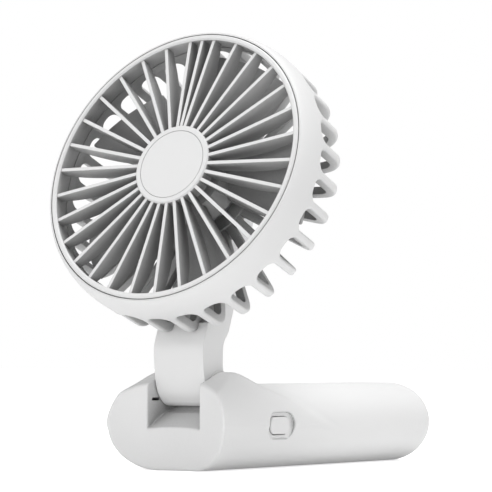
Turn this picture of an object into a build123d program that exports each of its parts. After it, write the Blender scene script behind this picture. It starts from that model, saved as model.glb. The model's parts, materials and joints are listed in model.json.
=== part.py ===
"""Folding handheld fan that stands on its own handle.

Frame: millimetres, +Z up.  X runs along the hinge axis, +Y runs along the handle towards its
closed end, and Z = 0 is the flat underside that the fan rests on.  The origin lies straight
below the hinge axis.  The head leans back and blows towards -Y and slightly upwards.
"""

import os
from math import cos, radians, sin

from build123d import *

os.makedirs("parts", exist_ok=True)

# ---------------------------------------------------------------- driving dimensions
handle_width = 48.5          # oval section, across X
handle_height = 29.4         # oval section, flat underside to flat top
handle_flat = 16.0           # width of the flat top and of the flat underside
handle_end_y = 130.0         # closed end of the handle
handle_end_round = 11.5      # rounding of the closed end
handle_wall = 2.2
bay_start_y = 10.0           # solid plastic in front of this, hollow behind it
face_y = -11.0               # middle of the hollowed end face
face_radius = 47.0           # the end face is hollowed to clear the round head

hinge_z = 28.5               # height of the hinge axis
notch_width = 21.6
neck_width = 20.6
knuckle_radius = 6.5
knuckle_gap = 0.9            # pocket around the knuckle
ear_top = 34.1
ear_half_width = 15.3        # flat top of each ear ends here

head_y = -13.9               # centre of the front plane of the head
head_z = 104.9
head_tilt = 21.6             # degrees that the air stream points above level

groove_radius = 50.0         # parting line between front grille and rear cage
lip_radius = 47.9            # free opening of the front grille
band_radius = 53.0           # widest radius of the rear cage
cage_depth = 29.0            # front plane to the rear plane of the ribs
rib_count = 30
rib_thickness = 2.9
rib_pitch = 360 / rib_count
fin_count = 30
fin_thickness = 1.2
hub_ring_radius = 14.7
hub_cap_radius = 12.6
hub_seam = 0.08

blade_count = 5
blade_tip_radius = 46.3
impeller_hub_radius = 14.0
shaft_radius = 1.5
neck_front_depth = 29.7      # depth of the neck's front face behind the front plane
neck_back_depth = 39.8

cell_radius = 9.1            # two lithium cells of the 18 x 65 mm size
cell_length = 65.0
cell_start_y = 46.0

# ---------------------------------------------------------------- frames of reference
tilt_cos = cos(radians(head_tilt))
tilt_sin = sin(radians(head_tilt))
head_centre = Vector(0, head_y, head_z)
head_normal = Vector(0, -tilt_cos, tilt_sin)
head_up = Vector(0, tilt_sin, tilt_cos)
head_plane = Plane(origin=head_centre, x_dir=(1, 0, 0), z_dir=head_normal)
radial_plane = Plane(origin=head_centre, x_dir=(1, 0, 0), z_dir=-head_up)
head_axis = Axis(head_centre, head_normal)
hinge_axis = Axis((0, 0, hinge_z), (1, 0, 0))


def at_depth(depth):
    """Plane square to the head axis, `depth` behind the front plane."""
    return head_plane.offset(-depth)


def at_y(y):
    """Upright plane across the handle, with its sketch up along Z."""
    return Plane.XZ.offset(-y)


def turned_profile(points):
    """Closed profile of (radius, depth) points, ready to revolve about the head axis."""
    with BuildSketch(radial_plane, mode=Mode.PRIVATE) as profile:
        with BuildLine():
            Polyline(*[(radius, -depth) for radius, depth in points], close=True)
        make_face()
    return profile.sketch


def oval_section(y, inset):
    """Section of the handle at `y`, drawn `inset` inside its outer surface."""
    mid = handle_height / 2
    half_flat = handle_flat / 2
    across = handle_width / 2 - half_flat - inset
    up = mid - inset
    with BuildSketch(at_y(y), mode=Mode.PRIVATE) as section:
        with BuildLine():
            Line((-half_flat, mid - up), (half_flat, mid - up))
            EllipticalCenterArc((half_flat, mid), across, up, start_angle=-90, arc_size=180)
            Line((half_flat, mid + up), (-half_flat, mid + up))
            EllipticalCenterArc((-half_flat, mid), across, up, start_angle=90, arc_size=180)
        make_face()
    return section.sketch


# ---------------------------------------------------------------- handle: outer form
front_overrun = 20.0         # the blank reaches this far in front of the hinge
face_edge_round = 2.0
ear_round = 3.0
ear_front_round = 1.5
ear_root = 16.0              # the ears start deep inside the body
button_y = 18.0
button_z = handle_height / 2 + 0.6
button_length = 11.8
button_height = 6.0
button_gap = 0.15
button_corner = 2.75
recess_length = 16.4
recess_height = 9.2
recess_depth = 0.9

with BuildSketch(Plane.XY) as face_hollow:
    with Locations((0, face_y - face_radius)):
        Circle(face_radius)
    with Locations((0, face_y - face_radius - 20)):
        Rectangle(120, face_radius * 2 - 15)

with BuildPart() as handle_form:
    extrude(oval_section(handle_end_y, 0), amount=handle_end_y + front_overrun)
    # shallow recess round the power button
    with BuildSketch(Plane.YZ.offset(handle_width / 2 - recess_depth)):
        with Locations((button_y + 0.6, button_z)):
            RectangleRounded(recess_length, recess_height, recess_height / 2 - 0.1)
    extrude(amount=3, mode=Mode.SUBTRACT)
    fillet(handle_form.faces().sort_by(Axis.Y)[-1].edges(), radius=handle_end_round)
    extrude(face_hollow.sketch, amount=60, mode=Mode.SUBTRACT)
    hollow_face = handle_form.faces().filter_by(GeomType.CYLINDER).sort_by(Axis.Y)[0]
    fillet(hollow_face.edges(), radius=face_edge_round)

bay_end_y = handle_end_y - handle_wall
with BuildPart() as bay_form:
    extrude(oval_section(bay_end_y, handle_wall), amount=bay_end_y - bay_start_y)
    fillet(bay_form.faces().sort_by(Axis.Y)[-1].edges(), radius=handle_end_round - handle_wall)

with BuildPart() as ear_form:
    with BuildSketch(Plane.YZ):
        with BuildLine():
            Polyline(
                (-front_overrun, ear_root), (-front_overrun, 22.5), (-0.8, ear_top),
                (4.8, ear_top), (20.0, 26.5), (20.0, ear_root), close=True,
            )
        make_face()
    extrude(amount=handle_width / 2, both=True)
    with BuildSketch(Plane.XZ):
        with BuildLine():
            Polyline(
                (-22.0, ear_root), (-20.5, 26.0), (-15.3, ear_top), (15.3, ear_top),
                (20.5, 26.0), (22.0, ear_root), close=True,
            )
        make_face()
    extrude(amount=60, both=True, mode=Mode.INTERSECT)
    fillet(ear_form.edges().filter_by(lambda edge: edge.center().Z > 29), radius=ear_round)
    extrude(face_hollow.sketch, amount=60, mode=Mode.SUBTRACT)
    ear_front = ear_form.faces().filter_by(GeomType.CYLINDER).sort_by(SortBy.AREA)[-1]
    front_rim = ear_front.edges().filter_by(lambda edge: edge.center().Z > ear_root + 1)
    fillet(front_rim, radius=ear_front_round)

# ---------------------------------------------------------------- handle: housing
cover_half_width = 12.0
cover_start_y = 12.0
cover_end_y = 118.0
cover_thickness = 1.3
cover_gap = 0.1
ledge = 2.0
pocket_radius = knuckle_radius + knuckle_gap
ramp_low = 14.85
ramp_high = 19.5
slit_length = 4.5
slit_height = 0.7
slit_reach = 2.4
axle_radius = 3.0
axle_end_x = 16.0
usb_width = 9.2
usb_height = 3.5
usb_z = handle_height / 2
screw_half_x = 7.0
front_screw_y = 15.0
rear_screw_y = 115.0
boss_radius = 2.6
boss_top = 9.0
screw_core = 0.8

with BuildPart() as housing:
    add(handle_form.part)
    add(ear_form.part)
    # battery and circuit bay
    add(bay_form.part, mode=Mode.SUBTRACT)
    # notch for the neck: ramp and round pocket that clear its swing, open at the top
    with BuildSketch(Plane.YZ):
        with BuildLine():
            Polyline(
                (-front_overrun, ramp_low - 4.6), (face_y, ramp_low), (-2.2, ramp_high),
                (1.3, ramp_high + 1.1), (4.4, 22.6), (pocket_radius - 0.3, 27.0), (13.2, 30.2),
                (13.2, 45), (-front_overrun, 45), close=True,
            )
        make_face()
        with Locations((0, hinge_z)):
            Circle(pocket_radius)
    extrude(amount=notch_width / 2, both=True, mode=Mode.SUBTRACT)
    # narrow slot in the left wall of the notch
    with BuildSketch(Plane.YZ.offset(-notch_width / 2 - slit_reach)):
        with Locations((-7.25, 24.3)):
            Rectangle(slit_length, slit_height)
    extrude(amount=slit_reach + 1, mode=Mode.SUBTRACT)
    # blind seats for the two hollow hinge axles
    with BuildSketch(Plane.YZ):
        with Locations((0, hinge_z)):
            Circle(axle_radius)
    extrude(amount=axle_end_x, both=True, mode=Mode.SUBTRACT)
    # cable passage from the left ear down to the bay
    with BuildSketch(Plane.YZ.offset(-axle_end_x - 1.8)):
        with BuildLine():
            Polyline(
                (-1.6, hinge_z + 1), (1.6, hinge_z + 1), (bay_start_y + 1, 17.0),
                (bay_start_y + 1, 12.0), (7.0, 12.0), close=True,
            )
        make_face()
    extrude(amount=1.8, mode=Mode.SUBTRACT)
    # screw bosses for the base cover
    with BuildSketch(Plane.XY.offset(ledge)):
        with Locations(
            (-screw_half_x, front_screw_y), (screw_half_x, front_screw_y),
            (-screw_half_x, rear_screw_y), (screw_half_x, rear_screw_y),
        ):
            Circle(boss_radius)
    extrude(amount=boss_top - ledge)
    # opening and rebate for the base cover
    cover_mid_y = (cover_start_y + cover_end_y) / 2
    cover_length = cover_end_y - cover_start_y
    with BuildSketch(Plane.XY):
        with Locations((0, cover_mid_y)):
            RectangleRounded(
                2 * (cover_half_width + cover_gap), cover_length + 2 * cover_gap, 3 + cover_gap
            )
    extrude(amount=cover_thickness + cover_gap, mode=Mode.SUBTRACT)
    with BuildSketch(Plane.XY):
        with Locations((0, cover_mid_y)):
            RectangleRounded(2 * cover_half_width - 4, cover_length - 12, 2)
    extrude(amount=ledge + 1, mode=Mode.SUBTRACT)
    with BuildSketch(Plane.XY):
        with Locations(
            (-screw_half_x, front_screw_y), (screw_half_x, front_screw_y),
            (-screw_half_x, rear_screw_y), (screw_half_x, rear_screw_y),
        ):
            Circle(screw_core)
    extrude(amount=boss_top - 1, mode=Mode.SUBTRACT)
    # slot for the power button and opening for the charging socket
    with BuildSketch(Plane.YZ.offset(handle_width / 2 - 5)):
        with Locations((button_y, button_z)):
            RectangleRounded(
                button_length + 2 * button_gap, button_height + 2 * button_gap,
                button_corner + button_gap,
            )
    extrude(amount=4.3, mode=Mode.SUBTRACT)
    with BuildSketch(at_y(handle_end_y + 1)):
        with Locations((0, usb_z)):
            RectangleRounded(usb_width, usb_height, usb_height / 2 - 0.05)
    extrude(amount=6, mode=Mode.SUBTRACT)
housing.part.label = "handle_housing"

with BuildPart() as base_cover:
    with BuildSketch(Plane.XY):
        with Locations((0, cover_mid_y)):
            RectangleRounded(2 * cover_half_width, cover_length, 3)
    extrude(amount=cover_thickness)
    add(handle_form.part, mode=Mode.INTERSECT)
    with Locations(Plane.XY):
        with Locations(
            (-screw_half_x, front_screw_y), (screw_half_x, front_screw_y),
            (-screw_half_x, rear_screw_y), (screw_half_x, rear_screw_y),
        ):
            Cylinder(1.1, 10, mode=Mode.SUBTRACT)
            Cylinder(1.95, 1.4, mode=Mode.SUBTRACT)
base_cover.part.label = "base_cover"


def pan_screw(head_radius, head_height, shank_radius, shank_length):
    """Screw standing on its head: head below z = 0, shank above, with a cross recess."""
    with BuildPart(mode=Mode.PRIVATE) as screw:
        with BuildSketch(Plane.XY.offset(-head_height)):
            Circle(head_radius)
        extrude(amount=head_height)
        with BuildSketch(Plane.XY):
            Circle(shank_radius)
        extrude(amount=shank_length)
        with BuildSketch(Plane.XY.offset(-head_height)):
            Rectangle(head_radius * 1.1, head_radius * 0.3)
            Rectangle(head_radius * 0.3, head_radius * 1.1)
        extrude(amount=head_height * 0.5, mode=Mode.SUBTRACT)
    return screw.part


base_screw_blank = pan_screw(1.8, 0.6, screw_core, 6.5)
with BuildPart() as base_screws:
    with Locations(
        (-screw_half_x, front_screw_y, 0.7), (screw_half_x, front_screw_y, 0.7),
        (-screw_half_x, rear_screw_y, 0.7), (screw_half_x, rear_screw_y, 0.7),
    ):
        add(base_screw_blank)
base_screws.part.label = "base_cover_screws"

# ---------------------------------------------------------------- handle: power and controls
cell_x = cell_radius + 0.3
cell_z = handle_height / 2

with BuildPart() as cells:
    with BuildSketch(at_y(cell_start_y + cell_length)):
        with Locations((-cell_x, cell_z), (cell_x, cell_z)):
            Circle(cell_radius)
    extrude(amount=cell_length)
    fillet(cells.faces().filter_by(Axis.Y).edges(), radius=0.6)
cells.part.label = "battery_cells"

cradle_half_width = 9.6
with BuildPart() as cradle:
    with BuildSketch(at_y(cell_start_y + cell_length - 6)):
        with Locations((0, 5.2)):
            Rectangle(2 * cradle_half_width, 7.7)
        with Locations((-cell_x, cell_z), (cell_x, cell_z)):
            Circle(cell_radius + 0.05, mode=Mode.SUBTRACT)
    extrude(amount=cell_length - 12)
cradle.part.label = "battery_cradle"

tab_thickness = 0.25
with BuildPart() as tabs:
    for tab_y in (cell_start_y - 0.02, cell_start_y + cell_length + tab_thickness + 0.02):
        with BuildSketch(at_y(tab_y)):
            with Locations((0, cell_z)):
                RectangleRounded(2 * cell_x + 7, 6.0, 1.0)
        extrude(amount=tab_thickness)
tabs.part.label = "battery_tabs"

with BuildPart() as cell_pad:
    with BuildSketch(Plane.XY.offset(cell_z + cell_radius + 0.05)):
        with Locations((0, cell_start_y + cell_length / 2)):
            RectangleRounded(24, 50, 2)
    extrude(amount=2.8)
cell_pad.part.label = "battery_foam_pad"

board_z = 9.6
board_thickness = 1.2
with BuildPart() as main_board:
    with BuildSketch(Plane.XY.offset(board_z)):
        with Locations((0, 28.5)):
            Rectangle(30, 31)
        with Locations((17.2, button_y)):
            Rectangle(5.0, 9)
    extrude(amount=board_thickness)
main_board.part.label = "main_circuit_board"

with BuildPart() as board_chips:
    with BuildSketch(Plane.XY.offset(board_z + board_thickness)):
        with Locations((-4, 30)):
            Rectangle(5, 5)
        with Locations((6, 36)):
            Rectangle(4, 6)
        with Locations((5, 24)):
            Rectangle(3, 3)
    extrude(amount=1.2)
board_chips.part.label = "board_chips"

with BuildPart() as inductor:
    with BuildSketch(Plane.XY.offset(board_z + board_thickness)):
        with Locations((-9, 38)):
            RectangleRounded(6.5, 6.5, 1.2)
    extrude(amount=3.2)
inductor.part.label = "board_inductor"

switch_top = 19.4
with BuildPart() as tact_switch:
    with BuildSketch(Plane.YZ.offset(15.4)):
        with Locations((button_y, button_z - 0.6)):
            Rectangle(6.2, 5.2)
    extrude(amount=3.2)
    with BuildSketch(Plane.YZ.offset(18.6)):
        with Locations((button_y, button_z)):
            Circle(1.3)
    extrude(amount=switch_top - 18.6)
    with BuildSketch(Plane.XY.offset(board_z + board_thickness)):
        with Locations((17.0, button_y)):
            Rectangle(3.2, 6.2)
    extrude(amount=2.6)
tact_switch.part.label = "tact_switch"

press_travel = 0.6
flange_back = switch_top + press_travel + 0.05
flange_front = flange_back + 0.8
with BuildPart() as power_button:
    with BuildSketch(Plane.YZ.offset(flange_back)):
        with Locations((button_y, button_z)):
            RectangleRounded(button_length + 1.8, button_height + 1.8, 3.0)
    extrude(amount=flange_front - flange_back)
    with BuildSketch(Plane.YZ.offset(flange_front)):
        with Locations((button_y, button_z)):
            RectangleRounded(button_length, button_height, button_corner)
    extrude(amount=handle_width / 2 - 0.25 - flange_front)
    fillet(power_button.faces().sort_by(Axis.X)[-1].edges(), radius=0.5)
power_button.part.label = "power_button"

with BuildPart() as usb_socket:
    with BuildSketch(at_y(handle_end_y - 0.9)):
        with Locations((0, usb_z)):
            RectangleRounded(usb_width - 0.2, usb_height - 0.2, (usb_height - 0.2) / 2 - 0.05)
            RectangleRounded(
                usb_width - 0.8, usb_height - 0.8, (usb_height - 0.8) / 2 - 0.05,
                mode=Mode.SUBTRACT,
            )
    extrude(amount=7.3)
    with BuildSketch(at_y(handle_end_y - 6.2)):
        with Locations((0, usb_z)):
            RectangleRounded(usb_width - 0.3, usb_height - 0.3, (usb_height - 0.3) / 2 - 0.05)
    extrude(amount=2.0)
    with BuildSketch(at_y(handle_end_y - 1.6)):
        with Locations((0, usb_z)):
            Rectangle(6.6, 0.7)
    extrude(amount=5.5)
usb_socket.part.label = "usb_charging_socket"

with BuildPart() as charge_board:
    with BuildSketch(Plane.XY.offset(usb_z - usb_height / 2 - 1.15)):
        with Locations((0, handle_end_y - 9.7)):
            Rectangle(18, 13.0)
    extrude(amount=1.2)
charge_board.part.label = "charging_board"

# ---------------------------------------------------------------- hinge
bush_outer = 4.2
axle_inner_x = 3.6
bush_inner_x = 5.4
flange_radius = 4.6
washer_thickness = 0.4
washer_x = neck_width / 2 + 0.05


def mirrored_ring(outer, inner, start_x, length):
    """The same ring at both ends of the hinge axis."""
    with BuildPart(mode=Mode.PRIVATE) as ring:
        with BuildSketch(Plane.YZ.offset(start_x)):
            with Locations((0, hinge_z)):
                Circle(outer)
                Circle(inner, mode=Mode.SUBTRACT)
        extrude(amount=length)
        mirror(about=Plane.YZ)
    return ring.part


with BuildPart() as hinge_axles:
    add(mirrored_ring(axle_radius, 1.8, axle_inner_x, axle_end_x - axle_inner_x))
    add(mirrored_ring(flange_radius, 1.8, axle_inner_x, 0.9))
hinge_axles.part.label = "hinge_axles"

with BuildPart() as hinge_bushes:
    add(mirrored_ring(bush_outer, axle_radius + 0.03, bush_inner_x, neck_width / 2 - bush_inner_x))
hinge_bushes.part.label = "hinge_bushes"

with BuildPart() as friction_washers:
    add(mirrored_ring(5.6, axle_radius + 0.05, washer_x, washer_thickness))
friction_washers.part.label = "friction_washers"

with BuildPart() as spring_washers:
    add(mirrored_ring(flange_radius - 0.2, axle_radius + 0.05, axle_inner_x + 0.95, 0.8))
spring_washers.part.label = "spring_washers"

# ---------------------------------------------------------------- neck
neck_top = 11.0              # the neck reaches this far above the head axis
neck_corner = 4.0
neck_low_depth = 27.1        # the lower neck reaches this far forward, into a pocket of the cage
neck_step_up = -47.6         # upper end of that forward part


def head_point(up, depth):
    """(y, z) of a point in the mid-plane, given in the head's own directions."""
    place = head_centre + head_up * up - head_normal * depth
    return (place.Y, place.Z)


with BuildPart() as neck_form:
    with BuildSketch(Plane.YZ):
        with BuildLine():
            front = Spline(
                (-4.95, 24.28), (-8.4, 31.3), (-9.2, 37.8), head_point(-54.5, neck_low_depth),
                tangents=[(-0.76, 0.65), (tilt_sin, tilt_cos)],
            )
            Polyline(
                front @ 1, head_point(neck_step_up, neck_low_depth),
                head_point(neck_step_up + 0.3, neck_front_depth),
                head_point(neck_top - neck_corner, neck_front_depth),
            )
            ThreePointArc(
                head_point(neck_top - neck_corner, neck_front_depth),
                head_point(neck_top - 0.7, (neck_front_depth + neck_back_depth) / 2),
                head_point(neck_top - neck_corner, neck_back_depth),
            )
            back = Spline(
                head_point(-45, neck_back_depth), (3.5, 44.2), (2.65, 38.2), (3.0, 34.16),
                tangents=[(-tilt_sin, -tilt_cos), (0.3, -1.0)],
            )
            Line(head_point(neck_top - neck_corner, neck_back_depth), back @ 0)
            ThreePointArc(back @ 1, (4.6, 23.91), front @ 0)
        make_face()
    extrude(amount=neck_width / 2, both=True)
    # rounded upper end, concentric with the head
    with BuildSketch(at_depth(neck_back_depth + 1)):
        with Locations((0, neck_top)):
            Rectangle(neck_width + 2, 2 * neck_top)
        Circle(neck_top, mode=Mode.SUBTRACT)
    extrude(amount=neck_back_depth - neck_front_depth + 2, mode=Mode.SUBTRACT)

inner_width = 16.4
neck_wall = 1.8
neck_cover_length = 48.0
cavity_top = 7.5
cavity_bottom = -44.0
cavity_mid = (cavity_top + cavity_bottom) / 2
neck_cover_thickness = 1.5
neck_screw_up = (-41.0, -12.0)
motor_screw_circle = 5.9
cable_hole_up = 5.7
knuckle_cavity = 5.3

with BuildPart() as neck_shell:
    add(neck_form.part)
    # main cavity, open to the rear
    with BuildSketch(at_depth(neck_back_depth + 1)):
        with Locations((0, cavity_mid)):
            RectangleRounded(inner_width + 0.1, cavity_top - cavity_bottom + 0.1, 3.05)
    extrude(amount=1 + neck_cover_thickness, mode=Mode.SUBTRACT)
    with BuildSketch(at_depth(neck_back_depth)):
        with Locations((0, cavity_mid)):
            RectangleRounded(inner_width - 2.4, cavity_top - cavity_bottom - 2.4, 2)
    extrude(amount=neck_back_depth - neck_front_depth - neck_wall, mode=Mode.SUBTRACT)
    # cable channel down to the hollow knuckle
    with BuildSketch(Plane.YZ):
        with BuildLine():
            Polyline(
                head_point(-42, 33), head_point(-42, 37), (0.6, 40.0), (0.8, 31),
                (-3.8, 31), (-4.6, 39.0), close=True,
            )
        make_face()
    extrude(amount=bush_inner_x, both=True, mode=Mode.SUBTRACT)
    with BuildSketch(Plane.YZ):
        with Locations((0, hinge_z)):
            Circle(knuckle_cavity)
    extrude(amount=bush_inner_x, both=True, mode=Mode.SUBTRACT)
    with BuildSketch(Plane.YZ):
        with Locations((0, hinge_z)):
            Circle(bush_outer)
    extrude(amount=neck_width, both=True, mode=Mode.SUBTRACT)
    # screw bosses for the rear cover, screw holes for the cage hub
    with BuildSketch(at_depth(neck_back_depth - neck_cover_thickness)):
        with Locations(*[(0, up) for up in neck_screw_up]):
            Circle(2.3)
    extrude(amount=6.0)
    with BuildSketch(at_depth(neck_back_depth)):
        with Locations(*[(0, up) for up in neck_screw_up]):
            Circle(screw_core)
    extrude(amount=7.0, mode=Mode.SUBTRACT)
    with BuildSketch(at_depth(neck_front_depth - 0.5)):
        with PolarLocations(motor_screw_circle, 3, start_angle=-90):
            Circle(1.1)
    extrude(amount=-3.0, mode=Mode.SUBTRACT)
    with BuildSketch(at_depth(neck_front_depth - 0.5)):
        with Locations((0, cable_hole_up)):
            Circle(1.0)
    extrude(amount=-6.5, mode=Mode.SUBTRACT)
neck_shell.part.label = "neck_shell"

with BuildPart() as neck_cover:
    with BuildSketch(at_depth(neck_back_depth)):
        with Locations((0, cavity_mid)):
            RectangleRounded(inner_width, cavity_top - cavity_bottom, 3)
    extrude(amount=neck_cover_thickness)
    add(neck_form.part, mode=Mode.INTERSECT)
    with BuildSketch(at_depth(neck_back_depth)):
        with Locations(*[(0, up) for up in neck_screw_up]):
            Circle(1.1)
    extrude(amount=3, mode=Mode.SUBTRACT)
    with BuildSketch(at_depth(neck_back_depth)):
        with Locations(*[(0, up) for up in neck_screw_up]):
            Circle(1.95)
    extrude(amount=0.7, mode=Mode.SUBTRACT)
neck_cover.part.label = "neck_rear_cover"


def head_screws(places, depth, screw):
    """Copies of a screw driven forwards along the head axis from `depth`."""
    with BuildPart(mode=Mode.PRIVATE) as group:
        for x, up in places:
            spot = at_depth(depth) * Pos(x, up, 0)
            add(spot * screw)
    return group.part


neck_screw_blank = pan_screw(1.8, 0.6, screw_core, 5.0)
with BuildPart() as neck_screws:
    add(head_screws([(0, up) for up in neck_screw_up], neck_back_depth - 0.7, neck_screw_blank))
neck_screws.part.label = "neck_cover_screws"

# ---------------------------------------------------------------- head: rear cage
seat_depth = 7.4             # the front grille's skirt stops here
window_depth = 11.5          # front end of the windows between the ribs
window_corner = 3.2
rib_side = 3.8               # rib height across the band
rib_rear = 3.6               # rib height across the rear
cage_corner = 6.5
rib_inner_corner = 3.0
rib_edge_round = 1.0
hub_plate_radius = 16.5
hub_plate_depth = 24.6
rear_floor = cage_depth - rib_rear
inner_radius = band_radius - rib_side
shoulder = band_radius - 0.3         # the band narrows slightly towards the rear
seat_inner = 48.3                    # bore under the front grille's skirt
hub_inner = hub_plate_radius - 2.5
pocket_length = 12.0
rim_radius_min = 50.0                # edges outside this radius lie on the cage's outer surface

with BuildPart() as window:
    with BuildSketch(at_depth(window_depth)):
        with BuildLine():
            Polyline(
                (16.0, rib_thickness / 2), (70, rib_thickness / 2), (70, 12), (16.0, 3.0),
                close=True,
            )
        make_face()
    extrude(amount=-30)
    front_edges = window.faces().sort_by(head_axis)[-1].edges()
    fillet(front_edges.sort_by(Axis(head_centre, head_up))[0], radius=window_corner)
    mirror(about=Plane(origin=head_centre, x_dir=(1, 0, 0), z_dir=head_up))

# one sector of the cage: closed band and hub ring joined by one rib, half a window on each side
with BuildPart() as sector:
    with BuildSketch(radial_plane):
        with BuildLine():
            band = Spline(
                (groove_radius + 0.7, -0.5), (51.9, -3.0), (52.9, -8.0), (band_radius, -12.0),
                tangents=[(0.6, -0.8), (0, -1)],
            )
            taper = Line(band @ 1, (shoulder, cage_corner - cage_depth))
            corner = TangentArc(taper @ 1, (shoulder - cage_corner, -cage_depth), tangent=taper % 1)
            rear = Line(corner @ 1, (hub_inner, -cage_depth))
            rib_end = Line(rear @ 1, (hub_inner, -rear_floor))
            floor = Line(rib_end @ 1, (inner_radius - rib_inner_corner, -rear_floor))
            inside = RadiusArc(
                floor @ 1, (inner_radius, rib_inner_corner - rear_floor), -rib_inner_corner
            )
            wall = Line(inside @ 1, (inner_radius, -window_depth))
            Polyline(
                wall @ 1, (seat_inner, -seat_depth), (groove_radius + 0.15, -seat_depth),
                (groove_radius + 0.15, -0.5), band @ 0,
            )
        make_face()
    revolve(axis=head_axis, revolution_arc=rib_pitch)

with BuildPart() as rib_sector:
    add(sector.part.rotate(head_axis, -rib_pitch / 2))
    add(window.part, mode=Mode.SUBTRACT)

    def outer_rim(edge):
        """True for the edges of a window on the outside of the cage."""
        offset = edge.center() - head_centre
        depth = -offset.dot(head_normal)
        across = abs(offset.dot(head_up))
        radius = (offset.X ** 2 + across ** 2) ** 0.5
        curved = edge.geom_type != GeomType.LINE and radius > rim_radius_min
        return 1.1 < across < 4.9 and (curved or (edge.length > 20 and depth > cage_depth - 0.1))

    fillet(rib_sector.edges().filter_by(outer_rim), radius=rib_edge_round)

with BuildPart() as rear_cage:
    add([rib_sector.part.rotate(head_axis, index * rib_pitch) for index in range(rib_count)])
    revolve(
        turned_profile([
            (2.0, hub_plate_depth), (hub_plate_radius, hub_plate_depth),
            (hub_plate_radius, cage_depth - 0.4), (hub_plate_radius - 1.2, neck_front_depth),
            (2.0, neck_front_depth),
        ]),
        axis=head_axis,
    )
    with BuildSketch(at_depth(hub_plate_depth - 1)):
        with PolarLocations(motor_screw_circle, 3, start_angle=-90):
            Circle(1.1)
        with Locations((0, cable_hole_up)):
            Circle(1.0)
    extrude(amount=-10, mode=Mode.SUBTRACT)
    # pocket for the forward part of the neck
    with BuildSketch(at_depth(neck_low_depth - 0.1)):
        with Locations((0, neck_step_up + 0.4 - pocket_length / 2)):
            Rectangle(neck_width + 0.4, pocket_length)
    extrude(amount=-6, mode=Mode.SUBTRACT)
rear_cage.part.label = "rear_cage"

# ---------------------------------------------------------------- head: front grille
fin_peak_radius = 34.0       # the fins are leaf-shaped, deepest here
fin_peak_depth = 7.5
with BuildPart() as fin_blank:
    with BuildSketch(radial_plane):
        with BuildLine():
            Line((14.0, -0.35), (48.2, -0.8))
            Line((48.2, -0.8), (48.2, -4.5))
            rear = Spline((48.2, -4.5), (fin_peak_radius, -fin_peak_depth), (14.0, -4.2))
            Line(rear @ 1, (14.0, -0.35))
        make_face()
    extrude(amount=fin_thickness / 2, both=True)

with BuildPart() as front_grille:
    revolve(
        turned_profile([
            (lip_radius, 0.5), (lip_radius + 0.5, 0), (groove_radius - 0.6, 0),
            (groove_radius - 0.15, 0.5), (groove_radius - 0.15, seat_depth - 0.1),
            (lip_radius + 0.6, seat_depth - 0.1),
        ]),
        axis=head_axis,
    )
    revolve(
        turned_profile([
            (hub_cap_radius + hub_seam, 0.15), (hub_cap_radius + 0.2, 0), (hub_ring_radius - 0.4, 0),
            (hub_ring_radius, 0.5), (hub_ring_radius, 5.2), (hub_ring_radius - 1.4, 5.2),
            (hub_ring_radius - 1.4, 3.6), (2.0, 3.6), (2.0, 2.2), (hub_cap_radius + hub_seam, 2.2),
        ]),
        axis=head_axis,
    )
    for index in range(fin_count):
        add(fin_blank.part.rotate(head_axis, index * 360 / fin_count))
    add(fin_blank.part.rotate(head_axis, 90))
front_grille.part.label = "front_grille"

with BuildPart() as hub_cap:
    revolve(
        turned_profile([
            (0, 0.05), (hub_cap_radius - 0.12, 0.05), (hub_cap_radius, 0.17), (hub_cap_radius, 2.15),
            (0, 2.15),
        ]),
        axis=head_axis,
    )
    revolve(turned_profile([(0, 2.1), (1.9, 2.1), (1.9, 3.4), (0, 3.4)]), axis=head_axis)
hub_cap.part.label = "hub_cap"

# ---------------------------------------------------------------- head: impeller
blade_middle_depth = 15.6


def blade_section(radius, chord, pitch, thickness):
    """Slender oval blade section, `radius` out along +X, pitched about that direction."""
    where = Plane(
        origin=head_centre + Vector(radius, 0, 0) - head_normal * blade_middle_depth,
        x_dir=head_up * cos(radians(pitch)) + head_normal * sin(radians(pitch)),
        z_dir=(1, 0, 0),
    )
    with BuildSketch(where, mode=Mode.PRIVATE) as section:
        SlotOverall(chord, thickness)
    return section.sketch


with BuildPart() as blade_blank:
    loft([
        blade_section(12.9, 13.0, 36, 1.8),
        blade_section(30.0, 26.0, 23, 1.4),
        blade_section(48.5, 32.0, 17, 1.2),
    ])

with BuildPart() as impeller:
    for index in range(blade_count):
        add(blade_blank.part.rotate(head_axis, index * 360 / blade_count))
    revolve(
        turned_profile([(0, 6), (blade_tip_radius, 6), (blade_tip_radius, 30), (0, 30)]),
        axis=head_axis,
        mode=Mode.INTERSECT,
    )
    revolve(
        turned_profile([(0, 6), (12.1, 6), (12.1, 30), (0, 30)]), axis=head_axis, mode=Mode.SUBTRACT
    )
    revolve(
        turned_profile([
            (1.6, 8.4), (impeller_hub_radius - 2.2, 8.4), (impeller_hub_radius, 10.4),
            (impeller_hub_radius, 20.6), (12.1, 20.6), (12.1, 10.0), (1.6, 10.0),
        ]),
        axis=head_axis,
    )
impeller.part.label = "impeller"

# ---------------------------------------------------------------- head: motor
can_radius = 12.0
magnet_outer = 11.2
magnet_inner = 10.0
stator_radius = 9.5
stator_bore = 4.6
tube_bore = 3.5
bearing_bore = shaft_radius + 0.03

with BuildPart() as rotor_can:
    revolve(
        turned_profile([
            (shaft_radius, 10.1), (can_radius, 10.1), (can_radius, 20.4), (magnet_outer, 20.4),
            (magnet_outer, 11.0), (3.2, 11.0), (3.2, 12.4), (shaft_radius, 12.4),
        ]),
        axis=head_axis,
    )
rotor_can.part.label = "rotor_can"

with BuildPart() as magnet_ring:
    revolve(
        turned_profile([
            (magnet_inner, 12.2), (magnet_outer, 12.2), (magnet_outer, 20.2), (magnet_inner, 20.2),
        ]),
        axis=head_axis,
    )
magnet_ring.part.label = "magnet_ring"

with BuildPart() as shaft:
    revolve(turned_profile([(0, 8.8), (shaft_radius, 8.8), (shaft_radius, 24.0), (0, 24.0)]), axis=head_axis)
shaft.part.label = "motor_shaft"

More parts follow.
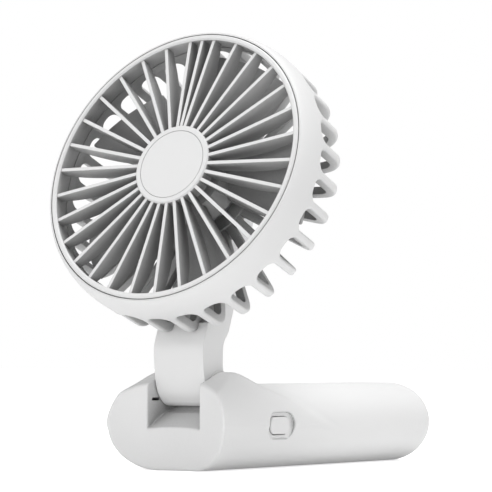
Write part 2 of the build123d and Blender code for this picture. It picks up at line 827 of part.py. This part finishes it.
with BuildPart() as bearings:
    for front in (13.0, 20.9):
        revolve(
            turned_profile([
                (bearing_bore, front), (tube_bore, front), (tube_bore, front + 2.4),
                (bearing_bore, front + 2.4),
            ]),
            axis=head_axis,
        )
bearings.part.label = "motor_bearings"

with BuildPart() as motor_base:
    revolve(
        turned_profile([
            (tube_bore, 12.8), (stator_bore, 12.8), (stator_bore, 23.2), (11.4, 23.2),
            (11.4, hub_plate_depth), (1.8, hub_plate_depth), (1.8, 24.2), (tube_bore - 0.6, 24.2),
            (tube_bore - 0.6, 23.4), (tube_bore, 23.4),
        ]),
        axis=head_axis,
    )
    with BuildSketch(at_depth(23.0)):
        with PolarLocations(motor_screw_circle, 3, start_angle=-90):
            Circle(screw_core)
    extrude(amount=-3, mode=Mode.SUBTRACT)
    with BuildSketch(at_depth(23.2)):
        with Locations((0, cable_hole_up)):
            Circle(1.0)
    extrude(amount=-3, mode=Mode.SUBTRACT)
motor_base.part.label = "motor_base"

tooth_count = 9
tooth_width = 1.7
with BuildPart() as stator_core:
    with BuildSketch(at_depth(18.6)):
        Circle(6.2)
        with PolarLocations(7.4, tooth_count):
            Rectangle(3.2, tooth_width)
        with PolarLocations(8.9, tooth_count):
            Rectangle(1.4, 5.0)
        Circle(stator_radius, mode=Mode.INTERSECT)
        Circle(stator_bore, mode=Mode.SUBTRACT)
    extrude(amount=4.6)
stator_core.part.label = "stator_core"

with BuildPart() as coils:
    with BuildSketch(at_depth(19.3)):
        with PolarLocations(7.2, tooth_count):
            Rectangle(1.7, 3.4)
    extrude(amount=6.0)
    with BuildSketch(at_depth(18.62)):
        with PolarLocations(7.2, tooth_count):
            Rectangle(3.0, tooth_width + 0.04)
    extrude(amount=4.64, mode=Mode.SUBTRACT)
coils.part.label = "stator_coils"

with BuildPart() as motor_board:
    revolve(
        turned_profile([(4.7, 21.2), (11.0, 21.2), (11.0, 22.2), (4.7, 22.2)]), axis=head_axis
    )
motor_board.part.label = "motor_board"

with BuildPart() as circlip:
    revolve(
        turned_profile([(shaft_radius, 23.5), (2.5, 23.5), (2.5, 23.9), (shaft_radius, 23.9)]),
        axis=head_axis,
    )
circlip.part.label = "shaft_circlip"

hub_screw_seat = neck_front_depth + neck_wall
hub_screw_blank = pan_screw(1.7, 1.0, screw_core - 0.05, 8.2)
hub_screw_places = [
    (motor_screw_circle * cos(radians(a)), motor_screw_circle * sin(radians(a)))
    for a in (-90, 30, 150)
]
with BuildPart() as hub_screws:
    add(head_screws(hub_screw_places, hub_screw_seat + 0.02, hub_screw_blank))
hub_screws.part.label = "hub_screws"

# ---------------------------------------------------------------- wiring
wire_radius = 0.75


def cable(points):
    """Round cable through a list of points, with rounded bends."""
    path = Polyline(*points, mode=Mode.PRIVATE)
    start = Plane(origin=path @ 0, z_dir=path % 0)
    return sweep(start * Circle(wire_radius, mode=Mode.PRIVATE), path=path, transition=Transition.ROUND)


def mid_plane_point(up, depth):
    """Point in the mid-plane, given in the head's own directions."""
    return head_centre + head_up * up - head_normal * depth


cable_side = Vector(-4.2, 0, 0)
motor_cable = cable([
    mid_plane_point(cable_hole_up, 22.3), mid_plane_point(cable_hole_up, 34.5),
    mid_plane_point(-6.0, 34.8) + cable_side, mid_plane_point(-40.5, 34.8) + cable_side,
    (-2.4, -1.9, 38.0), (-2.4, -0.6, 30.0),
])
motor_cable.label = "motor_cable"

handle_cable = cable([
    (-16.9, 0.0, 28.0), (-16.9, 3.5, 22.5), (-16.9, 11.8, 14.5), (-13.0, 16.0, 12.2),
])
handle_cable.label = "handle_cable"

# ---------------------------------------------------------------- export
for piece in (
    housing, base_cover, base_screws, cells, cradle, tabs, cell_pad, main_board, board_chips, inductor,
    tact_switch, power_button, usb_socket, charge_board, hinge_axles, hinge_bushes,
    friction_washers, spring_washers, neck_shell, neck_cover, neck_screws, rear_cage,
    front_grille, hub_cap, impeller, rotor_can, magnet_ring, shaft, bearings, motor_base,
    stator_core, coils, motor_board, circlip, hub_screws,
):
    export_step(piece.part, f"parts/{piece.part.label}.step")

for wire in (motor_cable, handle_cable):
    export_step(wire, f"parts/{wire.label}.step")
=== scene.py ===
"""Studio scene of the folding handheld fan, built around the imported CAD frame."""

import json
from math import cos, radians, sin

import bpy
import numpy as np
from mathutils import Matrix, Vector


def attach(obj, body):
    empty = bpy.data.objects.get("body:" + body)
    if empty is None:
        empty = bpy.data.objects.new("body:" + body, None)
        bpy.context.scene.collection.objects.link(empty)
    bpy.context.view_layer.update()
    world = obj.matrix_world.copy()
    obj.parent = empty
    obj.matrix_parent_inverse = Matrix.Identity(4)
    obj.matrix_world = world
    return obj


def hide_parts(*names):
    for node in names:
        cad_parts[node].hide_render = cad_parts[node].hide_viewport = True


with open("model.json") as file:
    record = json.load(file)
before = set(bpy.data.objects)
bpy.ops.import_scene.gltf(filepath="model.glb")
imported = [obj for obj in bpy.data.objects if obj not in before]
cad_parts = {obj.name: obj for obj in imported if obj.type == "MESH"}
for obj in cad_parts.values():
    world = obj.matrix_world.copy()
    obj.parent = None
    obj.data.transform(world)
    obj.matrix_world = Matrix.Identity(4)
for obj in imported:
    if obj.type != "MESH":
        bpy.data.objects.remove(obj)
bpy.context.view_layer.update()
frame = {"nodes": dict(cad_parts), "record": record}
nodes = frame["nodes"]
record = frame["record"]

MM = 0.001


# ---------------------------------------------------------------- material helpers
def new_material(name):
    """A node material with only a shader and an output; returns (material, tree, shader)."""
    material = bpy.data.materials.new(name)
    material.use_nodes = True
    tree = material.node_tree
    tree.nodes.clear()
    shader = tree.nodes.new("ShaderNodeBsdfPrincipled")
    output = tree.nodes.new("ShaderNodeOutputMaterial")
    tree.links.new(shader.outputs["BSDF"], output.inputs["Surface"])
    return material, tree, shader


def object_noise(tree, scale, detail, roughness=0.5):
    """Noise in object space, so that its grain has a real size whatever the piece."""
    place = tree.nodes.new("ShaderNodeTexCoord")
    noise = tree.nodes.new("ShaderNodeTexNoise")
    noise.inputs["Scale"].default_value = scale
    noise.inputs["Detail"].default_value = detail
    noise.inputs["Roughness"].default_value = roughness
    tree.links.new(place.outputs["Object"], noise.inputs["Vector"])
    return noise


def spread(tree, source, low, high):
    """Maps a 0 to 1 value onto low to high."""
    ranged = tree.nodes.new("ShaderNodeMapRange")
    ranged.inputs["To Min"].default_value = low
    ranged.inputs["To Max"].default_value = high
    tree.links.new(source, ranged.inputs["Value"])
    return ranged.outputs["Result"]


def two_tone(tree, source, first, second, start=0.35, end=0.65):
    """Colour ramp between two colours."""
    ramp = tree.nodes.new("ShaderNodeValToRGB")
    ramp.color_ramp.elements[0].position = start
    ramp.color_ramp.elements[1].position = end
    ramp.color_ramp.elements[0].color = (*first, 1)
    ramp.color_ramp.elements[1].color = (*second, 1)
    tree.links.new(source, ramp.inputs["Fac"])
    return ramp.outputs["Color"]


def bumped(tree, shader, source, strength, distance, edge_radius=0.0):
    """Adds bump, over edges softened by edge_radius in the shading."""
    bump = tree.nodes.new("ShaderNodeBump")
    bump.inputs["Strength"].default_value = strength
    bump.inputs["Distance"].default_value = distance
    tree.links.new(source, bump.inputs["Height"])
    if edge_radius:
        bevel = tree.nodes.new("ShaderNodeBevel")
        bevel.samples = 4
        bevel.inputs["Radius"].default_value = edge_radius
        tree.links.new(bevel.outputs["Normal"], bump.inputs["Normal"])
    tree.links.new(bump.outputs["Normal"], shader.inputs["Normal"])


def shaded_recesses(tree, colour, recess):
    """Painted shade: darkens a colour where the surface sits in a narrow gap, as light is lost between
    fins and in hollows.
    """
    occlusion = tree.nodes.new("ShaderNodeAmbientOcclusion")
    occlusion.samples = 4
    occlusion.only_local = recess["own_surface_only"]
    occlusion.inputs["Distance"].default_value = recess["reach"]
    curve = tree.nodes.new("ShaderNodeMapRange")
    curve.inputs["From Min"].default_value = recess["darkest_at"]
    curve.inputs["From Max"].default_value = recess["open_at"]
    curve.inputs["To Min"].default_value = recess["darkest"]
    tree.links.new(occlusion.outputs["AO"], curve.inputs["Value"])
    mixed = tree.nodes.new("ShaderNodeMix")
    mixed.data_type = "RGBA"
    mixed.blend_type = "MULTIPLY"
    mixed.inputs["Factor"].default_value = 1.0
    tree.links.new(colour, mixed.inputs["A"])
    tree.links.new(curve.outputs["Result"], mixed.inputs["B"])
    return mixed.outputs["Result"]


# Settings of the painted shade in gaps: the shell darkens from its own surface only, the cage from every
# surface near it.
SHELL_PAINTED_SHADE = {
    "own_surface_only": True, "reach": 0.022, "darkest_at": 0.15, "open_at": 0.85, "darkest": 0.06,
}
CAGE_PAINTED_SHADE = {
    "own_surface_only": False, "reach": 0.03, "darkest_at": 0.05, "open_at": 0.85, "darkest": 0.2,
}
DRIFT_SCALE = 18  # slow change of tone over a moulding
GRAIN_SCALE = 5200  # spark-eroded texture of the mould
GRAIN_HEIGHT = 0.00004
STREAK_SCALE = 900  # turning marks on metal
SCATTER_DEPTH = 0.0012


def moulded_plastic(name, colour, roughness, edge_radius=0.0002, recess=SHELL_PAINTED_SHADE):
    """Satin moulded plastic: fine spark-eroded grain, a faint drift in tone and gloss, and painted shade
    darkening its colour in gaps.
    """
    material, tree, shader = new_material(name)
    drift = object_noise(tree, DRIFT_SCALE, 3)
    darker = tuple(c * 0.985 for c in colour)
    tone = two_tone(tree, drift.outputs["Fac"], darker, colour)
    # Painted shade: the tone is darkened in gaps and hollows.
    tree.links.new(shaded_recesses(tree, tone, recess), shader.inputs["Base Color"])
    tree.links.new(
        spread(tree, drift.outputs["Fac"], roughness - 0.04, roughness + 0.05),
        shader.inputs["Roughness"],
    )
    grain = object_noise(tree, GRAIN_SCALE, 2, 0.6)
    bumped(tree, shader, grain.outputs["Fac"], 0.12, GRAIN_HEIGHT, edge_radius)
    shader.inputs["Specular IOR Level"].default_value = 0.42
    shader.inputs["Subsurface Weight"].default_value = 0.06
    shader.inputs["Subsurface Radius"].default_value = (SCATTER_DEPTH,) * 3
    return material


def turned_metal(name, colour, roughness):
    """Machined metal with fine streaks."""
    material, tree, shader = new_material(name)
    streaks = object_noise(tree, STREAK_SCALE, 4, 0.7)
    darker = tuple(c * 0.8 for c in colour)
    tree.links.new(two_tone(tree, streaks.outputs["Fac"], darker, colour), shader.inputs["Base Color"])
    tree.links.new(
        spread(tree, streaks.outputs["Fac"], roughness - 0.06, roughness + 0.08),
        shader.inputs["Roughness"],
    )
    shader.inputs["Metallic"].default_value = 1.0
    bumped(tree, shader, streaks.outputs["Fac"], 0.08, 0.00003, 0.0001)
    return material


def coated(name, first, second, roughness, scale=240, depth=0.00005):
    """Mottled two-tone finish for boards, foam, wraps and cable jackets."""
    material, tree, shader = new_material(name)
    mottle = object_noise(tree, scale, 5, 0.6)
    tree.links.new(two_tone(tree, mottle.outputs["Fac"], first, second), shader.inputs["Base Color"])
    tree.links.new(
        spread(tree, mottle.outputs["Fac"], roughness - 0.05, roughness + 0.05),
        shader.inputs["Roughness"],
    )
    bumped(tree, shader, mottle.outputs["Fac"], 0.3, depth)
    return material


WHITE = (0.72, 0.72, 0.72)
MATERIALS = {
    "white_shell": moulded_plastic("satin_white_shell", WHITE, 0.46),
    # Painted shade: the impeller is the same white plastic, coloured a darker grey for the shade it sits
    # in deep inside the cage.
    "impeller_white": moulded_plastic(
        "impeller_plastic_painted_shade", (0.56, 0.56, 0.56), 0.38, recess=CAGE_PAINTED_SHADE
    ),
    "button_white": moulded_plastic("button_plastic", WHITE, 0.42, 0.0003),
    "steel": turned_metal("turned_steel", (0.60, 0.60, 0.61), 0.32),
    "brass_bush": turned_metal("bush_brass", (0.70, 0.52, 0.24), 0.34),
    "copper": turned_metal("winding_copper", (0.75, 0.34, 0.16), 0.30),
    "alloy": turned_metal("cast_alloy", (0.68, 0.68, 0.70), 0.42),
    "magnet": turned_metal("sintered_magnet", (0.12, 0.12, 0.13), 0.55),
    "nylon": coated("natural_nylon", (0.70, 0.70, 0.69), (0.76, 0.76, 0.75), 0.5),
    "board_green": coated("solder_mask", (0.01, 0.10, 0.04), (0.02, 0.16, 0.06), 0.35),
    "component_black": coated("component_black", (0.012, 0.012, 0.013), (0.03, 0.03, 0.03), 0.5),
    "cell_wrap": coated("cell_wrap", (0.03, 0.14, 0.34), (0.04, 0.18, 0.42), 0.3),
    "foam": coated("foam_pad", (0.03, 0.03, 0.03), (0.09, 0.09, 0.09), 0.9, 1500, 0.0002),
    "wire": coated("cable_jacket", (0.30, 0.02, 0.02), (0.42, 0.03, 0.03), 0.5),
}

CAGE_PIECES = ("front_grille", "rear_cage", "hub_cap")
# Painted shade: the cage pieces are the shell's white plastic coloured a shade darker, with painted shade
# from every surface near them in their gaps.
shaded_cage_white = moulded_plastic("satin_white_cage_painted_shade", (0.68, 0.68, 0.68), 0.46, recess=CAGE_PAINTED_SHADE)

for part in record["subparts"]:
    surface = shaded_cage_white if part["node"] in CAGE_PIECES else MATERIALS[part["material_slot"]]
    for holder in nodes[part["node"]].material_slots:
        holder.material = surface


# ---------------------------------------------------------------- smooth bodies
def smooth_min(first, second, reach):
    """The lower of two fields, blended over `reach`."""
    mix = np.clip(0.5 + 0.5 * (second - first) / reach, 0, 1)
    return second + (first - second) * mix - reach * mix * (1 - mix)


def smooth_max(first, second, reach):
    """The higher of two fields, blended over `reach`."""
    return -smooth_min(-first, -second, reach)


def slope_of(field, points, reach=0.05):
    """Gradient of a field at points, by central differences."""
    parts = []
    for axis in range(3):
        nudge = np.zeros(3)
        nudge[axis] = reach
        ahead, behind = points + nudge, points - nudge
        parts.append((field(*ahead.T) - field(*behind.T)) / (2 * reach))
    return np.stack(parts, -1)


def surface_of(field, low, high, step):
    """Vertices, quads and normals of the surface where a field, negative inside, is zero."""
    lines = [np.arange(a, b + step, step) for a, b in zip(low, high)]
    value = field(*np.meshgrid(*lines, indexing="ij"))
    inside = value < 0
    cells = np.array(value.shape) - 1
    total = np.zeros((*cells, 3))
    count = np.zeros(cells, int)
    crossings = []
    for axis in range(3):
        others = [a for a in range(3) if a != axis]
        first = [slice(None)] * 3
        second = [slice(None)] * 3
        first[axis], second[axis] = slice(None, -1), slice(1, None)
        first, second = tuple(first), tuple(second)
        changed = inside[first] != inside[second]
        for a in others:
            edge = [slice(None)] * 3
            for end in (0, -1):
                edge[a] = end
                changed[tuple(edge)] = False
                edge[a] = slice(None)
        spot = np.argwhere(changed)
        before, after = value[first][changed], value[second][changed]
        place = np.stack([lines[a][spot[:, a]] for a in range(3)], -1)
        place[:, axis] += step * before / (before - after)
        ring = []
        for da, db in ((0, 0), (1, 0), (1, 1), (0, 1)):
            cell = spot.copy()
            cell[:, others[0]] -= da
            cell[:, others[1]] -= db
            np.add.at(total, tuple(cell.T), place)
            np.add.at(count, tuple(cell.T), 1)
            ring.append(cell)
        flip = (before < 0) == (axis == 1)
        crossings.append((ring, flip))
    number = np.full(cells, -1)
    used = count > 0
    number[used] = np.arange(used.sum())
    points = total[used] / count[used][:, None]
    for _ in range(2):
        slope = slope_of(field, points)
        points -= slope * (field(*points.T) / (slope ** 2).sum(-1))[:, None]
    quads = []
    for ring, flip in crossings:
        corners = np.stack([number[tuple(cell.T)] for cell in ring], -1)
        corners[flip] = corners[flip][:, ::-1]
        quads.append(corners)
    normals = slope_of(field, points)
    normals /= np.linalg.norm(normals, axis=1)[:, None]
    return points, np.concatenate(quads), normals


def smooth_body(name, field, low, high, step):
    """A mesh object, in metres, round the inside of a field that is in millimetres."""
    points, quads, normals = surface_of(field, low, high, step)
    mesh = bpy.data.meshes.new(name)
    mesh.from_pydata((points * MM).tolist(), [], quads.tolist())
    mesh.validate()
    mesh.shade_smooth()
    mesh.normals_split_custom_set_from_vertices(normals.tolist())
    body = bpy.data.objects.new(name, mesh)
    bpy.context.collection.objects.link(body)
    return body


# ---------------------------------------------------------------- handle housing
# All sizes here are in millimetres, in the frame of the CAD.
HINGE_Z = 28.5
HANDLE = {"width": 48.5, "height": 29.4, "flat": 16.0, "end": 130.0, "end_round": 11.5}
FACE = {"middle": -11.0, "radius": 47.0, "edge": 1.4}
EAR = {"top": 34.1, "foot": 18, "blend": 6.0, "edge": 2.2}
EAR_FRONT = ((-20.0, 22.5), (-0.8, EAR["top"]))
EAR_BACK = ((2.8, EAR["top"]), (18.0, 26.5))
EAR_FLANK = ((17.2, EAR["top"]), (20.9, 26.0), (22.2, 16.0))
NOTCH = {"half": 10.8, "pocket": 7.4, "edge": 0.5}
NOTCH_FLOOR = [
    (-20, 10.2), (-11, 14.85), (-2.2, 19.5), (1.3, 20.6), (4.4, 22.6),
    (7.1, 26.9), (13.2, 29.9), (20, 30.6), (20.2, 60),
]
SLIT = {"y": -7.25, "z": 24.3, "length": 4.5, "height": 0.7, "corner": 0.1, "reach": 2.4}
BUTTON = {"y": 18.0, "z": 15.3, "length": 11.8, "height": 6.0, "gap": 0.15, "corner": 2.9, "inner": 18}
BUTTON_RECESS = {"shift": 0.6, "half_length": 8.2, "half_height": 4.6, "corner": 4.5, "depth": 0.9}
COVER = {"half": 12.1, "start": 11.9, "end": 118.1, "depth": 1.4, "corner": 3.1}
USB = {"width": 9.2, "height": 3.5, "depth": 5.0, "corner": 1.7}
SHELL_STEP = 0.6
SHELL_BOX = ((-26, -19, -1.6), (26, 132, 36))


def rounded_box(dx, dy, half_x, half_y, corner):
    """Distance to a rounded rectangle centred on the origin."""
    qx, qy = np.abs(dx) - half_x + corner, np.abs(dy) - half_y + corner
    outside = np.hypot(np.maximum(qx, 0), np.maximum(qy, 0))
    return outside + np.minimum(np.maximum(qx, qy), 0) - corner


def oval_field(x, z, inset=0.0):
    """Distance to the handle's section: flat top and underside, half-ellipse sides."""
    half_flat, mid = HANDLE["flat"] / 2, HANDLE["height"] / 2
    across, up = HANDLE["width"] / 2 - half_flat - inset, mid - inset
    u = np.maximum(np.abs(x) - half_flat, 0) / across
    v = np.abs(z - mid) / up
    size = np.maximum(np.hypot(u, v), 1e-6)
    steepness = np.hypot(u / across, v / up) / size
    return (size - 1) / np.maximum(steepness, 1e-6)


def half_plane(a, b, start, end):
    """Distance above the line from start to end."""
    run, rise = end[0] - start[0], end[1] - start[1]
    return ((b - start[1]) * run - (a - start[0]) * rise) / np.hypot(run, rise)


def ear_field(x, y, z):
    """The pair of hinge ears, as one raised block that the notch later parts."""
    side = np.abs(x)
    form = z - EAR["top"]
    for face in (
        half_plane(y, z, *EAR_FRONT),
        half_plane(y, z, *EAR_BACK),
        half_plane(side, z, *EAR_FLANK[:2]),
        half_plane(side, z, *EAR_FLANK[1:]),
    ):
        form = smooth_max(form, face, EAR["edge"])
    return smooth_max(form, EAR["foot"] - z, 1)


def notch_field(x, y, z):
    """The space the neck swings in: above the stepped floor, and round the hinge barrel."""
    floor = np.interp(y, *zip(*NOTCH_FLOOR))
    slope = (np.interp(y + 0.1, *zip(*NOTCH_FLOOR)) - floor) / 0.1
    above = (floor - z) / np.hypot(1, slope)
    pocket = np.hypot(y, z - HINGE_Z) - NOTCH["pocket"]
    return np.maximum(np.minimum(above, pocket), np.abs(x) - NOTCH["half"])


def side_slot(x, y, z, half_length, half_height, corner, inner, shift=0.0):
    """A rounded opening in the button's side of the handle, as deep as x = inner."""
    outline = rounded_box(y - BUTTON["y"] - shift, z - BUTTON["z"], half_length, half_height, corner)
    return np.maximum(outline, inner - x)


def housing_field(x, y, z):
    """The handle's outer form with its ears, less every opening that shows."""
    section = oval_field(x, z)
    turn = HANDLE["end_round"]
    qs, qy = section + turn, y - HANDLE["end"] + turn
    body = np.minimum(np.maximum(qs, qy), 0) + np.hypot(np.maximum(qs, 0), np.maximum(qy, 0)) - turn
    body = smooth_min(body, ear_field(x, y, z), EAR["blend"])
    hollow = FACE["radius"] - np.hypot(x, y - FACE["middle"] + FACE["radius"])
    body = smooth_max(body, hollow, FACE["edge"])
    body = smooth_max(body, -notch_field(x, y, z), NOTCH["edge"])
    slit = np.maximum(
        rounded_box(y - SLIT["y"], z - SLIT["z"], SLIT["length"] / 2, SLIT["height"] / 2, SLIT["corner"]),
        np.abs(x + NOTCH["half"]) - SLIT["reach"],
    )
    body = np.maximum(body, -slit)
    recess = side_slot(
        x, y, z, BUTTON_RECESS["half_length"], BUTTON_RECESS["half_height"], BUTTON_RECESS["corner"],
        HANDLE["width"] / 2 - BUTTON_RECESS["depth"], BUTTON_RECESS["shift"],
    )
    body = smooth_max(body, -recess, NOTCH["edge"])
    hole = side_slot(
        x, y, z, BUTTON["length"] / 2 + BUTTON["gap"], BUTTON["height"] / 2 + BUTTON["gap"],
        BUTTON["corner"], BUTTON["inner"],
    )
    body = np.maximum(body, -hole)
    mid_y, half_y = (COVER["start"] + COVER["end"]) / 2, (COVER["end"] - COVER["start"]) / 2
    rebate = np.maximum(
        rounded_box(x, y - mid_y, COVER["half"], half_y, COVER["corner"]), z - COVER["depth"]
    )
    body = np.maximum(body, -rebate)
    socket = np.maximum(
        rounded_box(x, z - HANDLE["height"] / 2, USB["width"] / 2, USB["height"] / 2, USB["corner"]),
        HANDLE["end"] - USB["depth"] - y,
    )
    return np.maximum(body, -socket)


housing = smooth_body("handle_shell", housing_field, *SHELL_BOX, SHELL_STEP)
housing.data.materials.append(MATERIALS["white_shell"])
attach(housing, "handle")
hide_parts("handle_housing")


# ---------------------------------------------------------------- stage, light and camera
def seen_or_felt(tree, seen, felt):
    """One colour for what the camera sees and another for the light that reaches the fan."""
    path = tree.nodes.new("ShaderNodeLightPath")
    mixed = tree.nodes.new("ShaderNodeMix")
    mixed.data_type = "RGBA"
    tree.links.new(path.outputs["Is Camera Ray"], mixed.inputs["Factor"])
    mixed.inputs["A"].default_value = (felt, felt, felt, 1)
    mixed.inputs["B"].default_value = (seen, seen, seen, 1)
    return mixed


def studio_floor():
    """White table top that runs out of sight."""
    half = 6.0
    corners = [(-half, -half, 0), (half, -half, 0), (half, half, 0), (-half, half, 0)]
    mesh = bpy.data.meshes.new("studio_floor")
    mesh.from_pydata(corners, [], [(0, 1, 2, 3)])
    floor = bpy.data.objects.new("studio_floor", mesh)
    bpy.context.collection.objects.link(floor)
    material, tree, shader = new_material("studio_floor_paper")
    fibre = object_noise(tree, 60, 4)
    paper = two_tone(tree, fibre.outputs["Fac"], (0.96, 0.96, 0.96), (1, 1, 1))
    mixed = seen_or_felt(tree, 0.98, 0.8)
    tinted = tree.nodes.new("ShaderNodeMix")
    tinted.data_type = "RGBA"
    tinted.blend_type = "MULTIPLY"
    tinted.inputs["Factor"].default_value = 1.0
    tree.links.new(paper, tinted.inputs["A"])
    tree.links.new(mixed.outputs["Result"], tinted.inputs["B"])
    tree.links.new(tinted.outputs["Result"], shader.inputs["Base Color"])
    shader.inputs["Roughness"].default_value = 0.9
    shader.inputs["Specular IOR Level"].default_value = 0.0
    shader.inputs["Emission Color"].default_value = (1, 1, 1, 1)
    glow = seen_or_felt(tree, 0.55, 0.18)
    tree.links.new(glow.outputs["Result"], shader.inputs["Emission Strength"])
    mesh.materials.append(material)


def area_light(name, place, target, size, power):
    """A round softbox in metres and watts, aimed at target."""
    lamp = bpy.data.lights.new(name, "AREA")
    lamp.shape = "DISK"
    lamp.size = size
    lamp.energy = power
    holder = bpy.data.objects.new(name, lamp)
    bpy.context.collection.objects.link(holder)
    holder.location = place
    aim = Vector(target) - Vector(place)
    holder.rotation_euler = aim.to_track_quat("-Z", "Y").to_euler()


CAMERA = {"lens": 191.7, "sensor": 36, "place": (0.5168, -0.7446, 0.0387)}
CAMERA_TURN, CAMERA_TIP, CAMERA_ROLL = radians(33.63), radians(2.44), radians(0.16)


def camera():
    """Long lens from the front right, a little above the table and tipped slightly up."""
    view = bpy.data.cameras.new("camera")
    view.lens = CAMERA["lens"]
    view.sensor_width = CAMERA["sensor"]
    view.clip_end = 20
    turn, tip, roll = CAMERA_TURN, CAMERA_TIP, CAMERA_ROLL
    ahead = Vector((-sin(turn) * cos(tip), cos(turn) * cos(tip), sin(tip)))
    right = Vector((cos(turn), sin(turn), 0))
    up = right.cross(ahead)
    right, up = right * cos(roll) + up * sin(roll), up * cos(roll) - right * sin(roll)
    basis = Matrix((right, up, -ahead)).transposed().to_4x4()
    holder = bpy.data.objects.new("camera", view)
    bpy.context.collection.objects.link(holder)
    holder.matrix_world = Matrix.Translation(CAMERA["place"]) @ basis
    bpy.context.scene.camera = holder


def studio():
    """Even pale air all round, and three softboxes."""
    middle = (0, 0.03, 0.08)
    area_light("top_softbox", (0.15, 0.1, 1.2), middle, 1.1, 13)
    area_light("front_softbox", (0.0, -1.4, 0.25), middle, 0.9, 6.4)
    area_light("right_softbox", (1.3, 0.2, 0.5), middle, 0.9, 1.3)
    world = bpy.data.worlds.new("studio_air")
    world.use_nodes = True
    tree = world.node_tree
    sky = tree.nodes["Background"]
    mixed = seen_or_felt(tree, 1.0, 0.55)
    tree.links.new(mixed.outputs["Result"], sky.inputs["Color"])
    bpy.context.scene.world = world
    bpy.context.scene.view_settings.view_transform = "Standard"


studio_floor()
studio()
camera()
